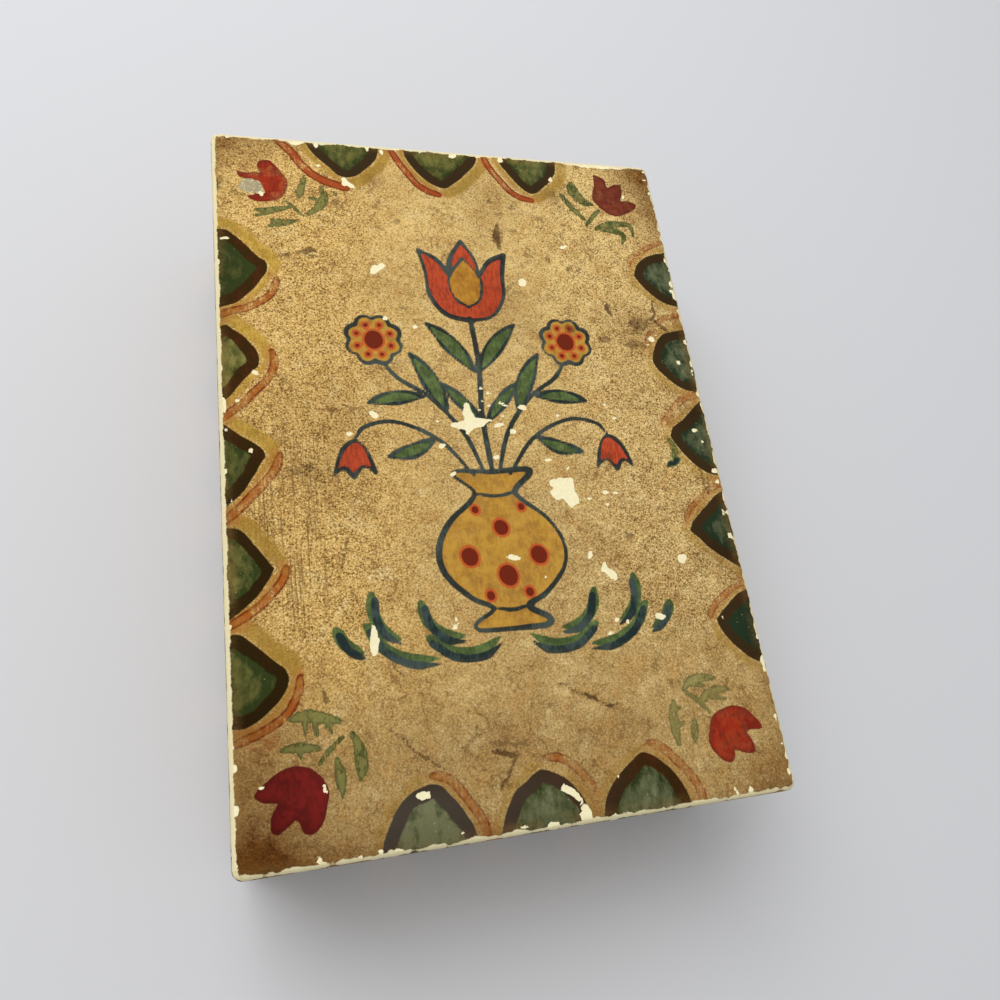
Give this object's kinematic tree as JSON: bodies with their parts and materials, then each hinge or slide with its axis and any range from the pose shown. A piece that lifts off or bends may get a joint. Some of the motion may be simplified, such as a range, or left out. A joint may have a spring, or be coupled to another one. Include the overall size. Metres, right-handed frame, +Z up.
{
  "type": "trinket box",
  "caption": "Rectangular painted wooden box with a flat lid on brass butt hinges, for keeping trinkets.",
  "frame": {"origin": "middle of the box's footprint, on the plane that it stands on", "axes": "+Z up, +Y to the hinged back, +X to the right seen from the front; lid shut"},
  "size_m": [0.1, 0.144, 0.04],
  "materials": {
    "painted_lid": "thin worn hand paint over cream gesso: speckled tan ground, scalloped green border, red tulips",
    "painted_case": "thin worn hand paint over cream gesso outside, bare wood inside",
    "bare_wood": "bare planed wood, darkened with age",
    "hinge_brass": "satin brass, tarnished",
    "screw_brass": "satin brass, slotted heads",
    "brad_steel": "dull steel with light rust"
  },
  "bodies": {
    "case": {"front_wall": "painted_case", "back_wall": "painted_case", "left_wall": "painted_case", "right_wall": "painted_case", "bottom_panel": "bare_wood", "left_hinge_case_leaf": "hinge_brass", "left_hinge_pin": "hinge_brass", "left_hinge_case_screw_1": "screw_brass", "left_hinge_case_screw_2": "screw_brass", "right_hinge_case_leaf": "hinge_brass", "right_hinge_pin": "hinge_brass", "right_hinge_case_screw_1": "screw_brass", "right_hinge_case_screw_2": "screw_brass", "front_left_brad_1": "brad_steel", "front_left_brad_2": "brad_steel", "front_right_brad_1": "brad_steel", "front_right_brad_2": "brad_steel", "back_left_brad_1": "brad_steel", "back_left_brad_2": "brad_steel", "back_right_brad_1": "brad_steel", "back_right_brad_2": "brad_steel", "bottom_left_brad_1": "brad_steel", "bottom_left_brad_2": "brad_steel", "bottom_right_brad_1": "brad_steel", "bottom_right_brad_2": "brad_steel", "bottom_front_brad_1": "brad_steel", "bottom_front_brad_2": "brad_steel", "bottom_back_brad_1": "brad_steel", "bottom_back_brad_2": "brad_steel"},
    "lid": {"lid_panel": "painted_lid", "left_hinge_lid_leaf": "hinge_brass", "left_hinge_lid_screw_1": "screw_brass", "left_hinge_lid_screw_2": "screw_brass", "right_hinge_lid_leaf": "hinge_brass", "right_hinge_lid_screw_1": "screw_brass", "right_hinge_lid_screw_2": "screw_brass"}
  },
  "joints": [
    {"name": "lid_hinge", "type": "hinge", "parent": "case", "child": "lid", "pos_m": [0, 0.0703, 0.03185], "axis": [-1, 0, 0], "range_deg": [0, 98]}
  ]
}
